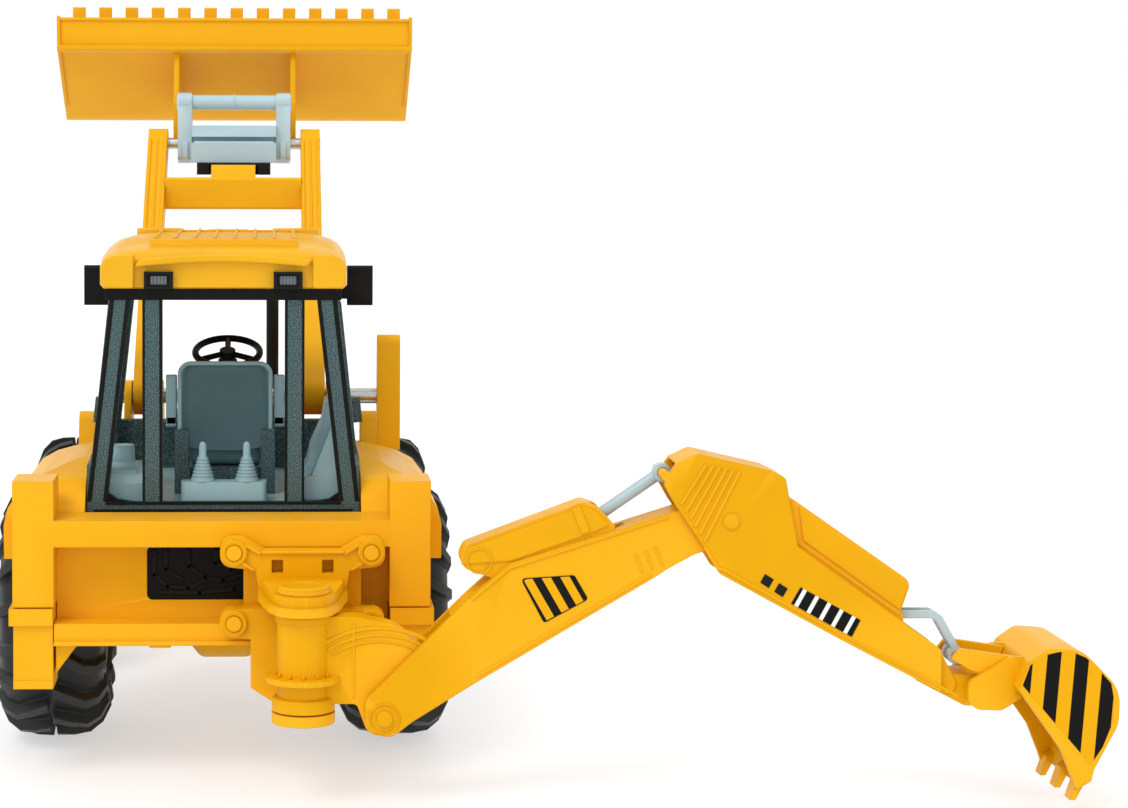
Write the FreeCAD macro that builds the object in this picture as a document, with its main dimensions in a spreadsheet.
import FreeCAD, Part
import math
import os

# Toy backhoe loader, about 1:16.  Millimetres, +X to the right, +Y forward, +Z up.
# The origin is on the ground, under the middle of the rear axle.  At rest the loader is fully
# raised, the backhoe is slewed to the right and the side-shift carriage is at its right stop.

Vector = FreeCAD.Vector
Rotation = FreeCAD.Rotation
Placement = FreeCAD.Placement

DIMENSIONS = {
    "wheel_diameter": 92,
    "rear_tyre_width": 39.5,
    "front_tyre_width": 31,
    "half_track_outside": 81,
    "wheelbase": 140,
    "axle_diameter": 6,
    "running_clearance": 0.1,
    "frame_half_width": 23,
    "sleeve_inside": 57,
    "sleeve_outside": 71,
    "rear_face": 70,
    "beam_depth": 12,
    "leg_gap": 0.4,
    "cab_half_width": 47.5,
    "cab_bottom": 86,
    "roof_bottom": 166,
    "roof_top": 184,
    "roof_half_width": 43.3,
    "arm_inside": 29.3,
    "arm_thickness": 8.4,
    "loader_bucket_width": 158.6,
    "bucket_wall": 2.2,
    "hitch_half_width": 24.8,
    "carriage_centre": 27.3,
    "post_radius": 8.6,
    "slew_y": -104,
    "boom_thickness": 14,
    "dipper_thickness": 20,
    "backhoe_bucket_width": 40,
    "pin_radius": 2.5,
}

doc = FreeCAD.newDocument("toy_backhoe_loader")
sheet = doc.addObject("Spreadsheet::Sheet", "dims")
for row, (alias, value) in enumerate(DIMENSIONS.items(), start=1):
    sheet.set(f"A{row}", alias)
    sheet.set(f"B{row}", str(value))
    sheet.setAlias(f"B{row}", alias)
doc.recompute()

WHEEL_R = DIMENSIONS["wheel_diameter"] / 2
WHEELBASE = DIMENSIONS["wheelbase"]
TRACK = DIMENSIONS["half_track_outside"]
AXLE_R = DIMENSIONS["axle_diameter"] / 2
PIN_R = DIMENSIONS["pin_radius"]
RUN = DIMENSIONS["running_clearance"]
CENTRE = DIMENSIONS["carriage_centre"]
SLEW_Y = DIMENSIONS["slew_y"]
REAR = -DIMENSIONS["rear_face"]
WALL_Y = REAR + DIMENSIONS["beam_depth"]

# Joint centres, all in the rest pose.
ARM_PIVOT = (78.0, 116.0)           # Y, Z
HITCH_PIVOT = (206.0, 215.0)        # Y, Z
BOOM_PIVOT = (53.7, 29.8)           # X, Z
DIPPER_PIVOT = (166.0, 94.7)        # X, Z
BUCKET_PIVOT = (248.8, 38.3)        # X, Z
ROD_EYE = (144.5, 109.6)            # X, Z, dipper cylinder
CRANK_EYE = (241.9, 49.2)           # X, Z, bucket cylinder
KINGPIN_X = 43.0

parts = {}
PLANES = {"X": "YZ_Plane", "Y": "XZ_Plane", "Z": "XY_Plane"}


def keep(name, item):
    """Registers a document object as the sub-part NAME."""
    item.Label = name
    parts[name] = item
    return item


def shifted(points, origin):
    """Points given from a pivot, moved to the frame; a third value is a corner radius."""
    return [(p[0] + origin[0], p[1] + origin[1], *p[2:]) for p in points]


def mirrored(points):
    """The outline reflected left to right."""
    return [(-p[0], *p[1:]) for p in reversed(points)]


def flat(points):
    """Sketch-plane vectors of an outline, without corner radii."""
    return [Vector(p[0], p[1], 0) for p in points]


def outline_edges(points):
    """Lines and corner arcs of a closed outline whose points may carry a corner radius."""
    corners = flat(points)
    radii = [p[2] if len(p) > 2 else 0 for p in points]
    count = len(points)
    starts, ends, arcs, reaches = [], [], [], []
    for i in range(count):
        here = corners[i]
        to_last = (corners[i - 1] - here).normalize()
        to_next = (corners[(i + 1) % count] - here).normalize()
        if radii[i] <= 0:
            starts.append(here)
            ends.append(here)
            arcs.append(None)
            reaches.append(0)
            continue
        half = to_last.getAngle(to_next) / 2
        reach = radii[i] / math.tan(half)
        bisector = (to_last + to_next).normalize()
        nearest = here + bisector * (radii[i] / math.sin(half) - radii[i])
        starts.append(here + to_last * reach)
        ends.append(here + to_next * reach)
        arcs.append(Part.Arc(starts[i], nearest, ends[i]))
        reaches.append(reach)
    edges = []
    for i in range(count):
        if reaches[i - 1] + reaches[i] > (corners[i - 1] - corners[i]).Length + 1e-6:
            raise ValueError(f"corner radii cross on the edge that ends at {points[i]}")
        if arcs[i] is not None:
            edges.append(arcs[i])
        after = (i + 1) % count
        if (starts[after] - ends[i]).Length > 1e-6:
            edges.append(Part.LineSegment(ends[i], starts[after]))
    return edges


def pair(name, items):
    """Two bodies, one on each side, kept as one sub-part."""
    group = doc.addObject("Part::Compound", name)
    group.Links = items
    for item in items:
        del parts[item.Label]
    return keep(name, group)


def new_body(name):
    body = doc.addObject("PartDesign::Body", name)
    return keep(name, body)


def sketch_at(body, axis, level):
    """A sketch square to the axis, at the level along it, with +X, +Y or +Z as its level."""
    role = PLANES[axis]
    plane = next(f for f in body.Origin.OriginFeatures if f.Role == role)
    sketch = body.newObject("Sketcher::SketchObject", body.Name + "_sketch")
    sketch.AttachmentSupport = [(plane, "")]
    sketch.MapMode = "FlatFace"
    offset = -level if axis == "Y" else level
    sketch.AttachmentOffset = Placement(Vector(0, 0, offset), Rotation())
    return sketch


def number(length):
    """The value of a length given as a number or as an expression on the sheet."""
    if isinstance(length, str):
        scope = {alias: sheet.get(alias) for alias in DIMENSIONS}
        total = 1.0
        for factor in length.replace("dims.", "").split("*"):
            total *= scope[factor.strip()] if factor.strip() in scope else float(factor)
        return total
    return length


def set_length(feature, length):
    """Gives a pad or pocket its length, bound to the sheet when it is an expression."""
    feature.Length = number(length)
    if isinstance(length, str):
        feature.setExpression("Length", length)


def add(body, axis, points, start, length):
    """Pads a closed outline from START along the axis."""
    level = start + number(length) if axis == "Y" else start
    sketch = sketch_at(body, axis, level)
    sketch.addGeometry(outline_edges(points), False)
    pad = body.newObject("PartDesign::Pad", body.Name + "_pad")
    pad.Profile = sketch
    set_length(pad, length)
    return pad


def cut(body, axis, points, start, length):
    """Pockets a closed outline from START along the axis."""
    level = start if axis == "Y" else start + number(length)
    sketch = sketch_at(body, axis, level)
    sketch.addGeometry(outline_edges(points), False)
    pocket = body.newObject("PartDesign::Pocket", body.Name + "_pocket")
    pocket.Profile = sketch
    set_length(pocket, length)
    return pocket


def circle_sketch(body, axis, centre, radius, level):
    sketch = sketch_at(body, axis, level)
    middle = Vector(centre[0], centre[1], 0)
    sketch.addGeometry(Part.Circle(middle, Vector(0, 0, 1), radius), False)
    return sketch


def add_disc(body, axis, centre, radius, start, length):
    level = start + number(length) if axis == "Y" else start
    pad = body.newObject("PartDesign::Pad", body.Name + "_boss")
    pad.Profile = circle_sketch(body, axis, centre, radius, level)
    set_length(pad, length)
    return pad


def drill(body, axis, centre, radius, start, length):
    level = start if axis == "Y" else start + number(length)
    hole = body.newObject("PartDesign::Pocket", body.Name + "_hole")
    hole.Profile = circle_sketch(body, axis, centre, radius, level)
    set_length(hole, length)
    return hole


def rectangle(low, high, radius=0.0):
    """A rectangle from its low and high corners."""
    xs, ys = (low[0], high[0]), (low[1], high[1])
    corners = [(xs[0], ys[0]), (xs[1], ys[0]), (xs[1], ys[1]), (xs[0], ys[1])]
    return [(x, y, radius) for x, y in corners]


def prism(name, axis, points, start, length):
    """A new sub-part made of one padded outline."""
    body = new_body(name)
    add(body, axis, points, start, length)
    return body


def turned(name, profile, centre_y, centre_z):
    """A sub-part turned about an X axis; the profile is (x, radius) points."""
    body = new_body(name)
    sketch = sketch_at(body, "Y", 0)
    sketch.addGeometry(outline_edges(profile), False)
    ring = body.newObject("PartDesign::Revolution", body.Name + "_turn")
    ring.Profile = sketch
    ring.ReferenceAxis = (sketch, ["H_Axis"])
    ring.Angle = 360
    body.Placement = Placement(Vector(0, centre_y, centre_z), Rotation())
    return body


def shaft(name, start, end, radius_expression, at, axis="X"):
    """A round bar along an axis, as a Part cylinder with its radius on the sheet."""
    bar = doc.addObject("Part::Cylinder", name)
    bar.setExpression("Radius", radius_expression)
    bar.Height = end - start
    if axis == "X":
        bar.Placement = Placement(Vector(start, at[0], at[1]), Rotation(Vector(0, 1, 0), 90))
    elif axis == "Y":
        bar.Placement = Placement(Vector(at[0], start, at[1]), Rotation(Vector(1, 0, 0), -90))
    else:
        bar.Placement = Placement(Vector(at[0], at[1], start), Rotation())
    return keep(name, bar)


def solid(name, shape):
    """A sub-part whose shape comes straight from Part's own functions."""
    feature = doc.addObject("Part::Feature", name)
    feature.Shape = shape.removeSplitter() if len(shape.Solids) == 1 else shape
    return keep(name, feature)


def block(low, high):
    return Part.makeBox(*[h - l for l, h in zip(low, high)], Vector(*low))


def leaning_bar(foot, head, width, depth):
    """A straight bar of rectangular section between two points on its centre line."""
    wires = []
    for centre in (foot, head):
        x, y, z = centre
        corners = [(x - width / 2, y - depth / 2), (x + width / 2, y - depth / 2),
                   (x + width / 2, y + depth / 2), (x - width / 2, y + depth / 2)]
        ring = [Vector(cx, cy, z) for cx, cy in corners]
        wires.append(Part.makePolygon(ring + ring[:1]))
    return Part.makeLoft(wires, True)


def both(shape):
    """A shape and its reflection in the centre plane."""
    return [shape, shape.mirror(Vector(0, 0, 0), Vector(1, 0, 0))]


# ---------------------------------------------------------------- wheels and axles

def wheel(prefix, side, width, y):
    """Tyre and rim of one wheel; side is -1 on the left and +1 on the right."""
    outer, inner = TRACK, TRACK - width
    shoulder, bead = WHEEL_R - 5, 27.0
    tread = [(inner, bead + 1), (inner, shoulder), (inner + 4, WHEEL_R), (outer - 4, WHEEL_R),
             (outer, shoulder), (outer, bead + 1), (outer - 3, bead), (inner + 3, bead)]
    bore = AXLE_R + RUN
    hub_in, hub_out = outer - 22, outer - 6
    rim = [(inner + 3, bead), (inner + 3, bead - 2), (hub_in, bead - 4), (hub_in, 11),
           (hub_in - 2, 9), (hub_in - 2, bore), (hub_out, bore), (hub_out, 9),
           (hub_out - 4, 12), (hub_out - 4, bead - 5), (outer - 3, bead - 2), (outer - 3, bead)]
    if side < 0:
        tread, rim = mirrored(tread), mirrored(rim)
    turned(prefix + "_tyre", tread, y, WHEEL_R)
    turned(prefix + "_rim", rim, y, WHEEL_R)


def wheels():
    for side, hand in ((-1, "left"), (1, "right")):
        wheel("rear_" + hand, side, DIMENSIONS["rear_tyre_width"], 0)
        wheel("front_" + hand, side, DIMENSIONS["front_tyre_width"], WHEELBASE)


def rear_axle():
    shaft("rear_axle_rod", -76, 76, "dims.axle_diameter / 2", (0, WHEEL_R))
    bulge, tube, end = 18.0, 8.0, 37.0
    profile = [(-end, AXLE_R), (end, AXLE_R), (end, tube), (14, tube), (13, 13, 2), (9, bulge, 4),
               (-9, bulge, 4), (-13, 13, 2), (-14, tube), (-end, tube)]
    turned("rear_axle_housing", profile, 0, WHEEL_R)


def front_axle():
    """Beam with a fork at each end for the kingpins, and its mounting block under the frame."""
    fork_in, fork_out = KINGPIN_X - 6, KINGPIN_X + 5
    outline = [(-fork_out, 34), (fork_out, 34), (fork_out, 58), (-fork_out, 58)]
    beam = new_body("front_axle_beam")
    add(beam, "Y", outline, WHEELBASE - 5, 10)
    add(beam, "Y", rectangle((-12, 34), (12, 60)), WHEELBASE - 12, 24)
    for side in (-1, 1):
        low, high = sorted((side * fork_in, side * (fork_out + 1)))
        cut(beam, "Y", rectangle((low, 38.5), (high, 53.5)), WHEELBASE - 6, 12)
        drill(beam, "Z", (side * KINGPIN_X, WHEELBASE), PIN_R + 0.08, 30, 32)
    for side, hand in ((-1, "left"), (1, "right")):
        knuckle(side, hand)


def knuckle(side, hand):
    """Steering knuckle: block in the fork, kingpin, stub axle and steering arm."""
    name = "knuckle_" + hand
    block_low, block_high = sorted((side * (KINGPIN_X - 4), side * (KINGPIN_X + 4)))
    body = prism(name, "Y", rectangle((block_low, 38.9), (block_high, 53.1)), WHEELBASE - 4, 8)
    add_disc(body, "Z", (side * KINGPIN_X, WHEELBASE), PIN_R, 35, 22)
    start = KINGPIN_X + 3 if side > 0 else -76
    add_disc(body, "X", (WHEELBASE, WHEEL_R), AXLE_R, start, 76 - KINGPIN_X - 3)
    low, high = sorted((side * (KINGPIN_X - 2), side * (KINGPIN_X + 2)))
    add(body, "Z", rectangle((low, WHEELBASE - 20), (high, WHEELBASE - 3)), 43, 6)
    add_disc(body, "Z", (side * KINGPIN_X, WHEELBASE - 17), 1.5, 49, 5.5)


def tie_rod():
    """Rod between the steering arms, with an oversize eye at each end."""
    rod = prism("tie_rod", "Z", rectangle((-36, WHEELBASE - 19), (36, WHEELBASE - 15)), 50, 3)
    for side in (-1, 1):
        add_disc(rod, "Z", (side * KINGPIN_X, WHEELBASE - 17), 4.2, 50, 3)
        arm = sorted((side * 35, side * (KINGPIN_X - 2)))
        add(rod, "Z", rectangle((arm[0], WHEELBASE - 19), (arm[1], WHEELBASE - 15)), 50, 3)
        drill(rod, "Z", (side * KINGPIN_X, WHEELBASE - 17), 2.3, 49, 5)


# ---------------------------------------------------------------- chassis

def chassis():
    half = DIMENSIONS["frame_half_width"]
    side = [(-50, 60), (183, 60, 3), (183, 76.3), (60, 84), (-50, 84)]
    frame = prism("chassis_frame", "X", side, -half, "dims.frame_half_width * 2")
    drill(frame, "X", (0, WHEEL_R), 18, -half - 1, half * 2 + 2)


def rear_frame():
    """Two cross beams and a back wall between the stabiliser sleeves."""
    inside, outside = DIMENSIONS["sleeve_inside"], DIMENSIONS["sleeve_outside"]
    depth = DIMENSIONS["beam_depth"]
    wall = prism("rear_frame", "Y", rectangle((-inside, 46), (inside, 88.6)), WALL_Y, 8)
    add(wall, "Y", rectangle((-inside, 79.5), (inside, 88.6)), REAR, "dims.beam_depth")
    add(wall, "Y", rectangle((-inside, 46), (inside, 53.4)), REAR, "dims.beam_depth")
    add(wall, "Y", rectangle((-inside, 46), (inside, 47.6)), REAR - 1.2, 1.4)
    cut(wall, "Y", rectangle((-26, 59.4), (26, 78), 2), WALL_Y, 1.6)
    for side in (-1, 1):
        gusset = [(49, 46), (inside - 0.5, 46), (inside - 0.5, 36)]
        sleeve = rectangle((inside, 59), (outside, 102))
        if side < 0:
            gusset, sleeve = mirrored(gusset), mirrored(sleeve)
        add(wall, "Y", gusset, REAR + 2, depth - 2)
        add(wall, "Y", sleeve, REAR, depth + 8)
        low, high = sorted((side * (inside + 2.1), side * (outside - 2.1)))
        cut(wall, "Z", rectangle((low, REAR + 2.1), (high, WALL_Y + 5.9)), 58, 42)
    panel = prism("rear_hose_panel", "Y", rectangle((-26, 59.4), (26, 78), 2), WALL_Y + 0.4, 1.2)
    for x in (-19, -14, -9, 9, 14, 19):
        add(panel, "Y", rectangle((x - 1.2, 62), (x + 1.2, 76), 1), WALL_Y, 0.5)


def stabilisers():
    """Sliding legs: inner stem, ribbed grip collar and the wide lower box with its foot pad."""
    inside, outside = DIMENSIONS["sleeve_inside"], DIMENSIONS["sleeve_outside"]
    stem = 2.1 + DIMENSIONS["leg_gap"]
    for side, hand in ((-1, "left"), (1, "right")):
        low, high = sorted((side * (inside + stem), side * (outside - stem)))
        box_low, box_high = sorted((side * (inside + 0.3), side * (outside - 0.2)))
        rim_low, rim_high = sorted((side * (inside + 0.3), side * (outside + 1.2)))
        leg = prism("stabiliser_leg_" + hand, "Z",
                    rectangle((low, REAR + stem), (high, WALL_Y + 8 - stem)), 52, 46)
        add(leg, "Z", rectangle((box_low, REAR + 0.5), (box_high, WALL_Y + 7.5)), 34, 19)
        add(leg, "Z", rectangle((rim_low, REAR - 1), (rim_high, WALL_Y + 8.5)), 52.8, 5.8)
        foot = rectangle((box_low, REAR + 0.2), (box_high, WALL_Y + 7.8))
        add(leg, "Z", foot, 31, 3)


def fenders():
    """Arched mudguards beside the cab, over the rear wheels."""
    side = [(-48, 72), (-50, 88, 3), (-40, 99, 8), (-18, 104, 8), (26, 104, 8), (46, 95, 8),
            (50, 80), (46, 70)]
    crown = [(50, 110), (50, 104), (56, 102.6), (64, 99.8), (70.5, 95.5), (74.6, 90), (76, 84), (76, 60),
             (84, 60), (84, 110)]
    for hand, start in (("left", -80.5), ("right", 48)):
        guard = prism("rear_fender_" + hand, "X", side, start, 32.5)
        drill(guard, "X", (0, WHEEL_R), WHEEL_R + 3, start - 1, 34.5)
        cut(guard, "Y", crown if start > 0 else mirrored(crown), -60, 120)


def side_parts():
    """Cowls ahead of the mudguards and the tanks with their steps under the doors."""
    cowls, tanks = [], []
    for side, hand in ((-1, "left"), (1, "right")):
        low, high = sorted((side * 51, side * 57.5))
        cowl = prism("side_cowl_" + hand, "X",
                     [(50.5, 84), (58, 84), (64, 98), (64, 112, 4), (55, 112, 4), (50.5, 100)], low, 6.5)
        add(cowl, "Z", rectangle(*sorted_corners((side * 47.5, 58), (side * 52, 63))), 96, 4)
        low, high = sorted((side * 23, side * 46))
        tank = prism("side_tank_" + hand, "X",
                     [(52, 44, 3), (86, 44, 3), (86, 62), (64, 80, 2), (52, 80, 2)], low, 23)
        cut(tank, "X", rectangle((60, 50), (78, 58), 1), high - 1 if side > 0 else low, 1)
        cowls.append(cowl)
        tanks.append(tank)
    pair("side_cowls", cowls)
    pair("side_tanks", tanks)


def sorted_corners(a, b):
    """Two opposite corners as low and high."""
    return (min(a[0], b[0]), min(a[1], b[1])), (max(a[0], b[0]), max(a[1], b[1]))


def hood():
    """Engine hood sloping down to the grille, with headlights and the exhaust stack."""
    half = DIMENSIONS["frame_half_width"]
    side = [(61, 84), (61, 104), (120, 102, 20), (180, 90, 8), (183, 84, 1), (183, 76.4)]
    body = prism("engine_hood", "X", side, -half, "dims.frame_half_width * 2")
    for k in range(4):
        slot = rectangle((76 + 11 * k, 90), (83 + 11 * k, 97), 1)
        cut(body, "X", slot, half - 1, 1)
        cut(body, "X", slot, -half, 1)
    front = prism("front_grille", "Y", rectangle((-18, 62), (18, 84), 2), 183, 2.4)
    for k in range(5):
        cut(front, "Y", rectangle((-15, 65 + 3.6 * k), (15, 67 + 3.6 * k)), 184.4, 1)
    lamps = [Part.makeCylinder(2.6, 2.2, Vector(x, 183, 80), Vector(0, 1, 0)) for x in (-20.4, 20.4)]
    lamps = [lamp.cut(front_block()) for lamp in lamps]
    solid("headlights", Part.Compound(lamps))
    drill(body, "Z", (17, 104), PIN_R, 98, 20)
    shaft("exhaust_pipe", 98, 162, "dims.pin_radius", (17, 104), "Z")


def front_block():
    """The space that the grille takes, which the lamps stop at."""
    return block((-18, 180, 60), (18, 190, 90))


def towers():
    """Forked brackets at the sides of the frame that carry the loader arms."""
    low = DIMENSIONS["arm_inside"] - 0.5 - 2.8
    gap_low, gap_high = DIMENSIONS["arm_inside"] - 0.5, DIMENSIONS["arm_inside"] + 8.9
    cheek = [(66, 80), (92, 80), (92, 98, 3), (85, 122, 6), (71, 122, 6), (66, 98, 3)]
    sides = []
    for side, hand in ((-1, "left"), (1, "right")):
        edges = sorted((side * low, side * (gap_high + 2.8)))
        body = prism("loader_tower_" + hand, "X", cheek, edges[0], edges[1] - edges[0])
        slot = sorted((side * gap_low, side * gap_high))
        cut(body, "X", rectangle((60, 100), (96, 130)), slot[0], slot[1] - slot[0])
        drill(body, "X", ARM_PIVOT, AXLE_R + RUN, edges[0] - 1, edges[1] - edges[0] + 2)
        foot = sorted((side * 23, side * (gap_high + 2.8)))
        add(body, "X", rectangle((87, 62), (92, 80)), foot[0], foot[1] - foot[0])
        sides.append(body)
    pair("loader_towers", sides)


# ---------------------------------------------------------------- cab

def cab():
    cab_frame()
    cab_roof()
    cab_inside()
    doors()
    lights_and_mirrors()


def cab_frame():
    """Sills, pillars and top rails of the open cab."""
    half, low = DIMENSIONS["cab_half_width"], DIMENSIONS["cab_bottom"]
    pieces = [block((-half, -45, low), (half, -39, low + 5)), block((-45, 54, low), (45, 60, 109)),
              block((-41, -45, 162), (41, -39, 166)), block((-41, 53.6, 162), (41, 60, 166))]
    halves = [block((42, -40, 94.6), (half, 60, 104.5)), block((42, -45, low + 5), (half, -36, 104.5)),
              block((35, -44, 162.5), (41, 59, 166)), block((21.3, -45, 91), (28.2, -39.5, 162)),
              leaning_bar((44, -41.5, 91), (36, -41.5, 166), 7, 7),
              leaning_bar((45, -11, 104.5), (38.5, -11, 166), 4.5, 5),
              leaning_bar((44.6, 56.8, 104.5), (37.8, 56.8, 166), 5, 6)]
    for piece in halves:
        pieces += both(piece)
    solid("cab_frame", pieces[0].fuse(pieces[1:]))


def cab_roof():
    half = DIMENSIONS["roof_half_width"]
    low, high = DIMENSIONS["roof_bottom"], DIMENSIONS["roof_top"]
    across = [(-half, low, 2), (half, low, 2), (half, 174, 6), (half - 7, high - 2, 6), (0, high),
              (-half + 7, high - 2, 6), (-half, 174, 6)]
    roof = prism("cab_roof", "Y", across, -49, 112)
    cut(roof, "X", [(-52, 188), (-52, 176), (-49, 174.5), (-30, 188)], -50, 100)
    cut(roof, "X", [(66, 188), (66, 172), (63, 172), (46, 188)], -50, 100)
    cut(roof, "Z", rectangle((-half + 3, -38), (half - 3, 52), 3), low, 11)
    for side in (-1, 1):
        lamp = sorted((side * 17.4, side * 27.4))
        cut(roof, "Y", rectangle((lamp[0], low), (lamp[1], 172)), -50, 6)
    for k in range(7):
        x = -21 + 7 * k
        add(roof, "Y", rectangle((x - 2.2, high - 2), (x + 2.2, high + 0.3)), -18, 56)


def lights_and_mirrors():
    low = DIMENSIONS["roof_bottom"]
    housings, lenses = [], []
    for side in (-1, 1):
        x0, x1 = sorted((side * 17.4, side * 27.4))
        case = block((x0, -49.6, low), (x1, -44, 172))
        window = block((x0 + 2, -50, low + 1.6), (x1 - 2, -47.4, 170.6))
        housings.append(case.cut(window))
        lenses.append(block((x0 + 2, -49, low + 1.6), (x1 - 2, -47.4, 170.6)))
    solid("work_light_housings", Part.Compound(housings))
    solid("work_light_lenses", Part.Compound(lenses))
    mirrors = []
    for side, hand in ((-1, "left"), (1, "right")):
        x0, x1 = sorted((side * 46, side * 56))
        mirror = prism("mirror_" + hand, "X", rectangle((61, 153), (65, 168.5), 1.2), x0, 10)
        arm = sorted((side * 37, side * 46.5))
        add(mirror, "X", rectangle((60, 162.6), (63, 165.4)), arm[0], arm[1] - arm[0])
        mirrors.append(mirror)
    pair("mirrors", mirrors)


def cab_inside():
    """Tub with its consoles, the seat, its stand, the levers and the steering column."""
    floor = prism("cab_floor", "Z", rectangle((-41, -39), (41, 54)), 86, 4.5)
    add(floor, "Z", rectangle((-15, -39), (15, -31), 1.5), 90, 7.5)
    add(floor, "X", [(-37.6, 90), (-8, 90), (-8, 96), (-20, 103, 2), (-36, 100, 2), (-37.6, 97)], -41, 13)
    add_disc(floor, "Z", (-36, -24), 4, 100, 9)
    add(floor, "Y", [(29, 90), (41, 90), (41, 117, 1), (38, 117, 1.5), (31, 100)], -37.6, 25)
    base = prism("seat_base", "Z", rectangle((-13, -14), (13, 12), 2), 90.5, 9)
    for side in (-1, 1):
        edges = sorted((side * 13, side * 18))
        add(base, "Z", rectangle((edges[0], -18.4), (edges[1], -14)), 90.5, 23)
    seat = prism("driver_seat", "X",
                 [(-16, 106, 3), (-10, 99.5), (16, 99.5, 3), (16, 106, 3), (-6, 108, 4), (-9, 134, 2),
                  (-10, 138, 1), (-14.5, 137, 2)], -12.8, 25.6)
    add(seat, "Y", [(-17.2, 107, 4), (17.2, 107, 4), (17.2, 138, 3), (-17.2, 138, 3)], -14, 4)
    for side in (-1, 1):
        edges = sorted((side * 17.2, side * 21.5))
        add(seat, "X", rectangle((-13, 113.6), (8, 119), 1.5), edges[0], 4.3)
        add(seat, "X", rectangle((-13, 113.6), (-9, 133), 1), edges[0], 4.3)
    levers = []
    for x in (-7.5, 8):
        boot = Part.makeCone(4.4, 1.7, 9, Vector(x, -35, 97.5))
        levers.append(boot.fuse(Part.makeCylinder(1.4, 14, Vector(x, -35, 97.5))))
    solid("backhoe_levers", Part.Compound(levers))
    lean = Vector(0, -0.36, 0.932952)
    hub = Vector(0, 38, 134)
    column = Part.makeCylinder(3.6, 46, hub - lean * 46.3, lean)
    column = column.common(block((-9, 0, 90.5), (9, 53.9, 140)))
    solid("steering_column", column.fuse(block((-7, 40, 90.5), (7, 53.9, 96))))
    steering_wheel(hub, lean)


def steering_wheel(centre, lean):
    """Rim, hub and three spokes, square to the column."""
    ring = Part.makeTorus(12.2, 1.3, centre + lean * 3, lean)
    hub = Part.makeCylinder(3, 4, centre, lean)
    pieces = [hub]
    side = Vector(1, 0, 0)
    for k in range(3):
        spoke_dir = Rotation(lean, 90 + 120 * k).multVec(side)
        pieces.append(Part.makeCylinder(1.1, 12.2, centre + lean * 2.8, spoke_dir))
    solid("steering_wheel", ring.fuse(pieces))


def doors():
    """Open door frames that follow the slope of the cab side, with a handle on the front edge."""
    tilt = math.degrees(math.atan2(6.5, 61.5))
    for side, hand in ((-1, "left"), (1, "right")):
        start = 0 if side < 0 else -3
        ring = new_body("door_" + hand)
        outer = [(0, 0, 2), (58.5, 0, 2), (58.5, 56, 4), (0, 56, 3)]
        inner = [(4.5, 5, 4), (54, 5, 4), (54, 52, 3), (4.5, 52, 3)]
        add(ring, "X", outer, start, 3)
        cut(ring, "X", inner, start, 3)
        add(ring, "X", rectangle((53.5, 3.5), (58.5, 13)), start + (3 if side > 0 else -5), 5)
        add_disc(ring, "Z", (0, 0), 0.6, 2, 52)
        ring.Placement = Placement(Vector(side * 47, -7.6, 105.2), Rotation(Vector(0, 1, 0), -side * tilt))


# ---------------------------------------------------------------- front loader

def loader():
    loader_arms()
    quick_hitch()
    loader_bucket()


def between(a, b, s, across):
    """A point at share S of the way from A to B, and ACROSS to its left."""
    dx, dy = b[0] - a[0], b[1] - a[1]
    length = math.hypot(dx, dy)
    return (a[0] + dx * s - dy / length * across, a[1] + dy * s + dx / length * across)


def arm_outline():
    a, b = ARM_PIVOT, HITCH_PIVOT
    marks = [(-0.045, -7.3, 7), (0.3, -8, 20), (0.75, -7, 10), (1.04, -5.6, 5),
             (1.04, 5.6, 5), (0.75, 7, 10), (0.3, 8, 20), (-0.045, 7.3, 7)]
    return [(*between(a, b, s, across), r) for s, across, r in marks]


def loader_arms():
    inside, thick = DIMENSIONS["arm_inside"], DIMENSIONS["arm_thickness"]
    for side, hand in ((-1, "left"), (1, "right")):
        start = inside if side > 0 else -inside - thick
        arm = prism("loader_arm_" + hand, "X", arm_outline(), start, "dims.arm_thickness")
        drill(arm, "X", ARM_PIVOT, AXLE_R, start - 1, thick + 2)
        drill(arm, "X", HITCH_PIVOT, PIN_R + RUN, start - 1, thick + 2)
    beam = prism("arm_cross_beam", "X",
                 [(171, 187, 1), (185, 187, 1), (185, 194), (182, 200.5, 1), (171, 200.5, 1)],
                 -inside, "dims.arm_inside * 2")
    add(beam, "X", [(172, 200), (181, 200), (181, 206), (176, 206)], -9.5, 19)
    shaft("arm_pivot_shaft", -43, 62, "dims.axle_diameter / 2", ARM_PIVOT)
    lever = prism("loader_lever", "X",
                  [(71, 95, 2), (80, 95, 2), (82, 116), (79, 140.5, 3.5), (71, 140.5, 3.5)], 58.3, 9)
    drill(lever, "X", ARM_PIVOT, AXLE_R, 58, 4)


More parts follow.
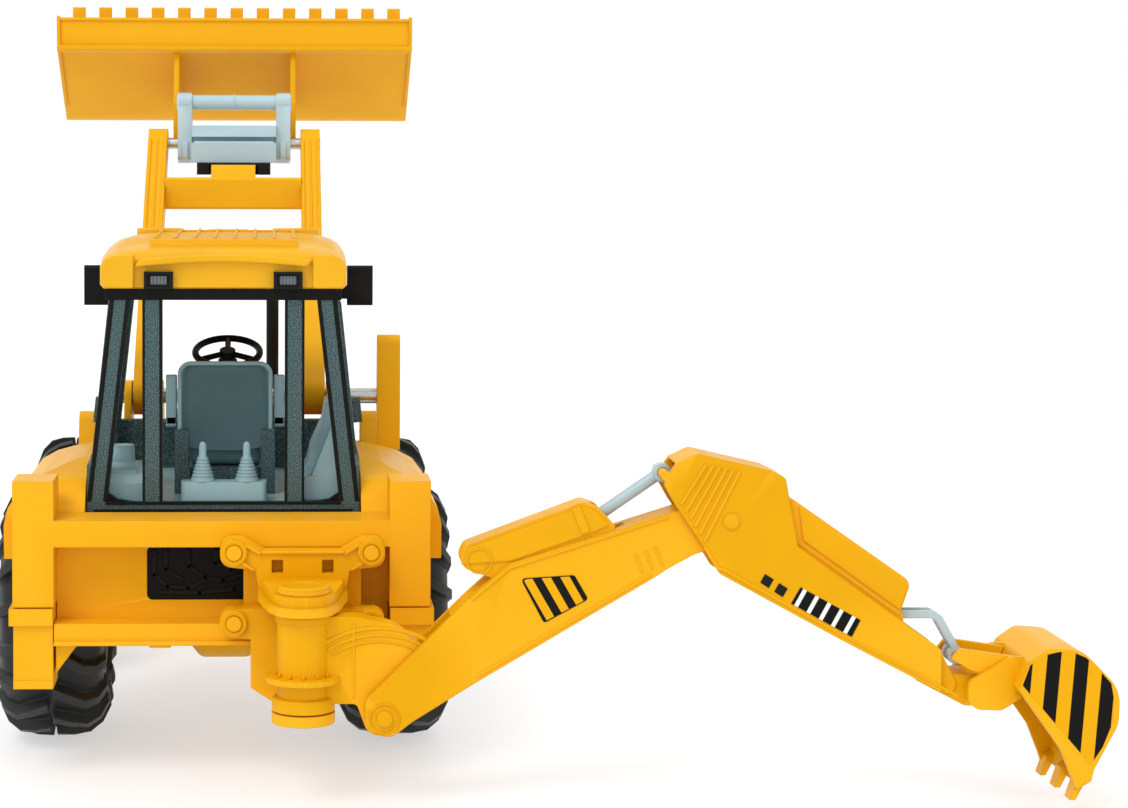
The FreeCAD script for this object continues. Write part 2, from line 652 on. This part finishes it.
def quick_hitch():
    """Grey coupling frame between the arms and the bucket, its pins and the black tilt detent."""
    half = DIMENSIONS["hitch_half_width"]
    frame = new_body("quick_hitch")
    arm = [(199, 208, 2), (206, 206.2, 3), (213, 208, 3), (213, 216), (208, 222), (207, 237, 3),
           (199, 237, 3)]
    add(frame, "X", arm, -half, "dims.hitch_half_width * 2")
    cut(frame, "X", rectangle((190, 216), (220, 229.5)), -18.5, 37)
    cut(frame, "X", rectangle((190, 200), (220, 217)), -18.5, 37)
    cut(frame, "X", rectangle((190, 229), (220, 240)), -18.5, 37)
    add_disc(frame, "X", (203, 233.2), 3.3, -18.6, 37.2)
    add(frame, "X", [(196, 218), (211, 218), (211, 220), (203, 223), (196, 223)], -18.6, 37.2)
    add(frame, "X", [(189, 206.8), (203, 206.8), (205, 219), (201, 219), (200, 215.5), (189, 215.5)],
        -18.6, 37.2)
    for side in (-1, 1):
        drill(frame, "X", HITCH_PIVOT, PIN_R, 18 if side > 0 else -26, 8)
    pins = [Part.makeCylinder(PIN_R, 17.5, Vector(x, *HITCH_PIVOT), Vector(1, 0, 0))
            for x in (20.5, -38)]
    solid("hitch_pins", Part.Compound(pins))
    detent = prism("tilt_detent", "X", [(186, 201.6), (193, 201.6, 1), (196, 206.8), (186, 206.8)],
                   -16, 32)
    cut(detent, "X", rectangle((180, 200), (190, 205.4)), -10.6, 21.2)


def loader_bucket():
    """Bucket shell: upper lip, sloping back, rounded heel, floor and cutting edge with 13 teeth."""
    half, wall = DIMENSIONS["loader_bucket_width"] / 2, DIMENSIONS["bucket_wall"]
    outside = [(218.6, 271), (219.4, 257.3), (223, 256.2), (281.5, 220.9, 8), (284, 232), (281, 273)]
    hollow = [(221, 280), (221.9, 259.4), (225.4, 258.3), (280.3, 225, 6), (281.6, 236), (278.4, 280)]
    shell = prism("loader_bucket", "X", outside, -half, "dims.loader_bucket_width")
    cut(shell, "X", hollow, -half + wall, half * 2 - wall * 2)
    half_hitch = DIMENSIONS["hitch_half_width"]
    rib = [(222.6, 257), (213, 234, 4), (213.5, 216, 3), (222, 213, 3), (240, 224, 6), (262, 232.8)]
    for side in (-1, 1):
        start = half_hitch if side > 0 else -half_hitch - 2.4
        add(shell, "X", rib, start, 2.4)
    pitch, width, count = 12.3, 5.8, 13
    for k in range(count):
        x = (k - (count - 1) / 2) * pitch
        tooth = [(277.2, 268), (282.4, 268), (281.6, 278.4, 0.8), (278.4, 278.4, 0.8)]
        add(shell, "X", tooth, x - width / 2, width)


# ---------------------------------------------------------------- backhoe

def backhoe():
    carriage()
    swing_post()
    boom()
    dipper()
    dipper_rod()
    backhoe_bucket()
    bucket_rod()


def carriage():
    """Side-shift carriage: cross-shaped plate, tongue between the beams and two post shelves."""
    x = CENTRE
    upper = [(-27.8, 74.3, 4), (-16, 73), (-13.5, 60), (-27.8, 59.7, 4), (-27.8, 50.3, 4),
             (-12, 49), (12, 49), (27.8, 50.3, 4), (27.8, 59.7, 4), (13.5, 60), (16, 73),
             (27.8, 74.3, 4), (27.8, 83.7, 4), (20, 83.7, 2), (13, 79.5), (-13, 79.5),
             (-20, 83.7, 2), (-27.8, 83.7, 4)]
    plate = prism("slide_carriage", "Y", shifted(upper, (x, 0)), -78, 7.6)
    add(plate, "Y", rectangle((x - 20, 54), (x + 20, 79)), -71, 11)
    for window in (-8.5, 8.5):
        cut(plate, "Y", rectangle((x + window - 1.9, 72), (x + window + 1.9, 76.4)), -78, 5)
    shelf = [(x - 15, -77), (x - 15, -84), (x - 11.7, SLEW_Y, 2), (x - 7, SLEW_Y - 12.5, 9),
             (x + 7, SLEW_Y - 12.5, 9), (x + 11.7, SLEW_Y, 2), (x + 15, -84), (x + 15, -77)]
    add(plate, "Z", shelf, 63.6, 3.2)
    step = [(x - 13.6, -77), (x - 13.6, -84), (x - 10.6, SLEW_Y, 2), (x - 6.5, SLEW_Y - 11, 8),
            (x + 6.5, SLEW_Y - 11, 8), (x + 10.6, SLEW_Y, 2), (x + 13.6, -84), (x + 13.6, -77)]
    add(plate, "Z", step, 66.8, 3.2)
    bracket = [(x - 17.5, 50), (x - 17.5, 33), (x - 9, 27.5), (x + 8, 27.5), (x + 8, 50)]
    add(plate, "Y", bracket, -78, 5)
    add(plate, "Z", rectangle((x - 8, SLEW_Y), (x + 8, -77)), 27.5, 3.5)
    add_disc(plate, "Z", (x, SLEW_Y), 10.4, 27.5, 3.5)
    drill(plate, "Z", (x, SLEW_Y), PIN_R + RUN, 20, 60)
    bolts = [Part.makeCylinder(2.6, 2, Vector(x + dx, -80, z), Vector(0, 1, 0))
             for dx, z in ((-23.1, 79), (23.1, 79), (-23.1, 55), (23.1, 55))]
    solid("carriage_bolts", Part.Compound(bolts))


def swing_post():
    """Slewing post with its flange, pivot pin ends and the boom foot plate."""
    x, y = CENTRE, SLEW_Y
    post = new_body("swing_post")
    add_disc(post, "Z", (x, y), DIMENSIONS["post_radius"], 31.4, 31.8)
    add_disc(post, "Z", (x, y), 12.6, 41, 2)
    plate = [(x, 34), (x, 62.8), (x + 17, 62.8), (x + 30, 60, 12), (BOOM_PIVOT[0] + 22, 44, 10),
             (BOOM_PIVOT[0] + 6.2, 34, 2), (BOOM_PIVOT[0] + 5.2, 23.6, 5),
             (BOOM_PIVOT[0] - 5.2, 23.6, 5), (BOOM_PIVOT[0] - 9, 34, 2)]
    add(post, "Y", plate, y - 4, 8)
    drill(post, "Y", BOOM_PIVOT, PIN_R + RUN, y - 5, 10)
    pin = Part.makeCylinder(PIN_R, 44.4, Vector(x, y, 27))
    pin = pin.fuse(Part.makeCylinder(8.7, 1.6, Vector(x, y, 70.1)))
    drill(post, "Z", (x, y), PIN_R, 30, 35)
    solid("slew_pin", pin)


def boom():
    """Boom with a forked foot, the dipper cylinder housing on top and a plain head."""
    o, half = BOOM_PIVOT, DIMENSIONS["boom_thickness"] / 2
    outline = [(-6.4, -4, 6), (-6.4, 6, 6), (27.5, 39.4, 4), (40, 50.6, 4), (93.5, 67.4, 1.5),
               (112, 73.6, 6), (121, 66, 7), (113, 57.5, 6), (100.5, 53.5), (92.7, 49.2, 3),
               (87.4, 45.8, 3), (28.7, 11.1, 8), (9, -1.2, 4), (2, -6.6, 5)]
    body = prism("boom", "Y", shifted(outline, o), SLEW_Y - half, "dims.boom_thickness")
    case = [(23.2, 50, 4), (26.2, 56.4, 3), (64.7, 70.8, 3), (69.5, 69, 2), (75, 62.9), (75, 58),
            (40, 44)]
    add(body, "Y", shifted(case, o), SLEW_Y - 6, 12)
    sector = 39.5
    drill(body, "Y", o, sector, SLEW_Y - 4.4, 8.8)
    rod_way = [(71.7, 72.3), (32.4, 48.2), (40, 37.1), (78.5, 62.4)]
    cut(body, "Y", shifted(rod_way, o), SLEW_Y - 2.7, 5.4)
    drill(body, "Y", DIPPER_PIVOT, PIN_R + RUN, SLEW_Y - half - 1, half * 2 + 2)
    add_pin(body, o, PIN_R, half + 1)


def add_pin(body, centre, radius, half):
    """A pivot stud along Y, moulded in one with the body it is on."""
    return add_disc(body, "Y", centre, radius, SLEW_Y - half, half * 2)


def dipper():
    """Dipper whose hollow head straddles the boom, with the bucket cylinder housing on top."""
    p, half = DIPPER_PIVOT, DIMENSIONS["dipper_thickness"] / 2
    outline = [(-22.4, 12.6, 3), (-17.9, 19, 2), (-11.4, 22.1, 3), (12.9, 16.5, 3), (17.6, 14.2, 2),
               (21.8, -8.3), (69, -42, 2), (74.8, -52.8), (76.5, -60, 3), (36.2, -38.9),
               (-3.6, -17.2, 2), (-9.5, -7.6), (-18.4, 5.6)]
    body = prism("dipper", "Y", shifted(outline, p), SLEW_Y - half, "dims.dipper_thickness")
    case = [(17.5, 9, 2), (58.7, -19.7, 3), (59.4, -22, 2), (56.1, -31.7), (21, -7)]
    add(body, "Y", shifted(case, p), SLEW_Y - 6.5, 13)
    head = [(-50, 18.6), (-15, 18.6), (-7, 15.6), (6, 13.6), (13, 8), (15, 0), (14, -8), (22, -30),
            (22, -70), (-50, -70)]
    slot = half * 2 - 5.2
    cut(body, "Y", shifted(head, p), SLEW_Y - slot / 2, slot)
    crank_way = [(60, -23), (18, 6.3), (14.5, 1.5), (17, -13), (66, -48), (82, -36)]
    cut(body, "Y", shifted(crank_way, p), SLEW_Y - 4.4, 8.8)
    waist = 7.4
    tongue = [(62, -51), (78, -51), (87.6, -51, 5), (87.6, -61.4, 5), (78, -61.4, 3), (62, -53)]
    for side in (-1, 1):
        start = SLEW_Y + (waist if side > 0 else -half)
        cut(body, "Y", shifted(rectangle((69.5, -66), (80, -40)), p), start, half - waist)
    drill(body, "Y", BUCKET_PIVOT, 16.6, SLEW_Y - 4.4, 8.8)
    add(body, "Y", shifted(tongue, p), SLEW_Y - 7, 14)
    add_pin(body, p, PIN_R, half + 0.5)
    add_pin(body, ROD_EYE, 1.6, half)
    drill(body, "Y", BUCKET_PIVOT, PIN_R + RUN, SLEW_Y - 8, 16)


def dipper_rod():
    """Bright cylinder rod, pinned to the dipper head and sliding in the boom housing."""
    eye = Vector(ROD_EYE[0], SLEW_Y, ROD_EYE[1])
    angle = math.radians(214.5)
    along = Vector(math.cos(angle), 0, math.sin(angle))
    rod = Part.makeCylinder(2, 58, eye, along)
    ring = Part.makeCylinder(3, 4.4, eye - Vector(0, 2.2, 0), Vector(0, 1, 0))
    hole = Part.makeCylinder(1.7, 6, eye - Vector(0, 3, 0), Vector(0, 1, 0))
    solid("dipper_rod", rod.fuse(ring).cut(hole))


def backhoe_bucket():
    """Curved digging bucket with side ears, three teeth and the link plate."""
    c = BUCKET_PIVOT
    half = DIMENSIONS["backhoe_bucket_width"] / 2
    back = [(12.6, 11.9, 4), (19, 16.4, 5), (30, 15.6, 9), (42.5, 3, 12), (42.2, -8.4, 10),
            (34.4, -23.2, 3), (33.5, -27)]
    outside = [(9.3, 3)] + back + [(28.6, -30), (27.6, -27), (23.5, -16.8, 8)]
    inside = [(10.5, 0.5), (14.3, 10.6, 3), (20, 14, 4), (29, 13.3, 8), (40, 2.3, 11),
              (39.8, -7.8, 9), (32.4, -22, 3), (28, -36), (0, -36), (0, -3)]
    shell = prism("backhoe_bucket", "Y", shifted(outside, c), SLEW_Y - half,
                  "dims.backhoe_bucket_width")
    cut(shell, "Y", shifted(inside, c), SLEW_Y - half + 2, half * 2 - 4)
    ear = [(-5, -5, 4.5), (6, -5.4, 4), (13, -1), (13, 12.2), (8.8, 12.2, 3), (-5, 4, 4)]
    for start in (SLEW_Y - 12.8, SLEW_Y + 10.4):
        add(shell, "Y", shifted(ear, c), start, 2.4)
    add_pin(shell, c, PIN_R, 12.8)
    tooth = [(33.6, -24), (29, -27), (26.9, -33.4), (28.6, -33.4)]
    for y in (-16.2, 0, 16.2):
        add(shell, "Y", shifted(tooth, c), SLEW_Y + y - 3, 6)
    plate = [(-10, 11), (-7.4, 14.4, 2), (12.3, 11.5), (9.2, 3.2), (-4, 7.5)]
    link = new_body("bucket_link_plate")
    for y in (-10.3, 7.9):
        add(link, "Y", shifted(plate, c), SLEW_Y + y, 2.4)
    add_pin(link, CRANK_EYE, 1.4, 10.3)


def bucket_rod():
    """Bright cranked double rod from the link pin into the dipper housing."""
    e = CRANK_EYE
    line = [(-48.8, 35.7), (-17.9, 13.6), (-8.1, 13.6), (-5.8, 12.3), (0, 2)]
    thick = 2.4
    pieces = []
    for y in (-3.9, 1.5):
        for a, b in zip(line, line[1:]):
            start = Vector(e[0] + a[0], SLEW_Y + y, e[1] + a[1])
            end = Vector(e[0] + b[0], SLEW_Y + y, e[1] + b[1])
            run = end - start
            turn = math.degrees(math.atan2(run.z, run.x))
            bar = Part.makeBox(run.Length, thick, thick)
            bar.translate(Vector(0, 0, -thick / 2))
            bar.Placement = Placement(start, Rotation(Vector(0, 1, 0), -turn)).multiply(bar.Placement)
            pieces.append(bar)
            joint = Part.makeCylinder(thick / 2, thick, start, Vector(0, 1, 0))
            pieces.append(joint)
        pieces.append(Part.makeCylinder(2.9, thick, Vector(e[0], SLEW_Y + y, e[1]), Vector(0, 1, 0)))
    bridge = Part.makeCylinder(thick / 2, 7.8, Vector(e[0] - 48.8, SLEW_Y - 3.9, e[1] + 35.7),
                               Vector(0, 1, 0))
    pieces.append(bridge)
    shape = pieces[0].fuse(pieces[1:])
    solid("bucket_rod", shape.cut(Part.makeCylinder(1.5, 30, Vector(e[0], SLEW_Y - 15, e[1]),
                                                    Vector(0, 1, 0))))


def check():
    doc.recompute()
    for item in doc.Objects:
        if "Invalid" in item.State or "Error" in item.State:
            raise RuntimeError(f"{item.Label} failed: {item.State}")
    for name, item in parts.items():
        shape = item.Shape
        if shape.isNull() or not shape.isValid():
            raise RuntimeError(f"{name} has no valid shape")


def export():
    os.makedirs("parts", exist_ok=True)
    for name, item in parts.items():
        item.Shape.exportStep(os.path.join("parts", name + ".step"))


wheels()
rear_axle()
front_axle()
tie_rod()
chassis()
rear_frame()
stabilisers()
fenders()
side_parts()
hood()
towers()
cab()
loader()
backhoe()
check()
export()
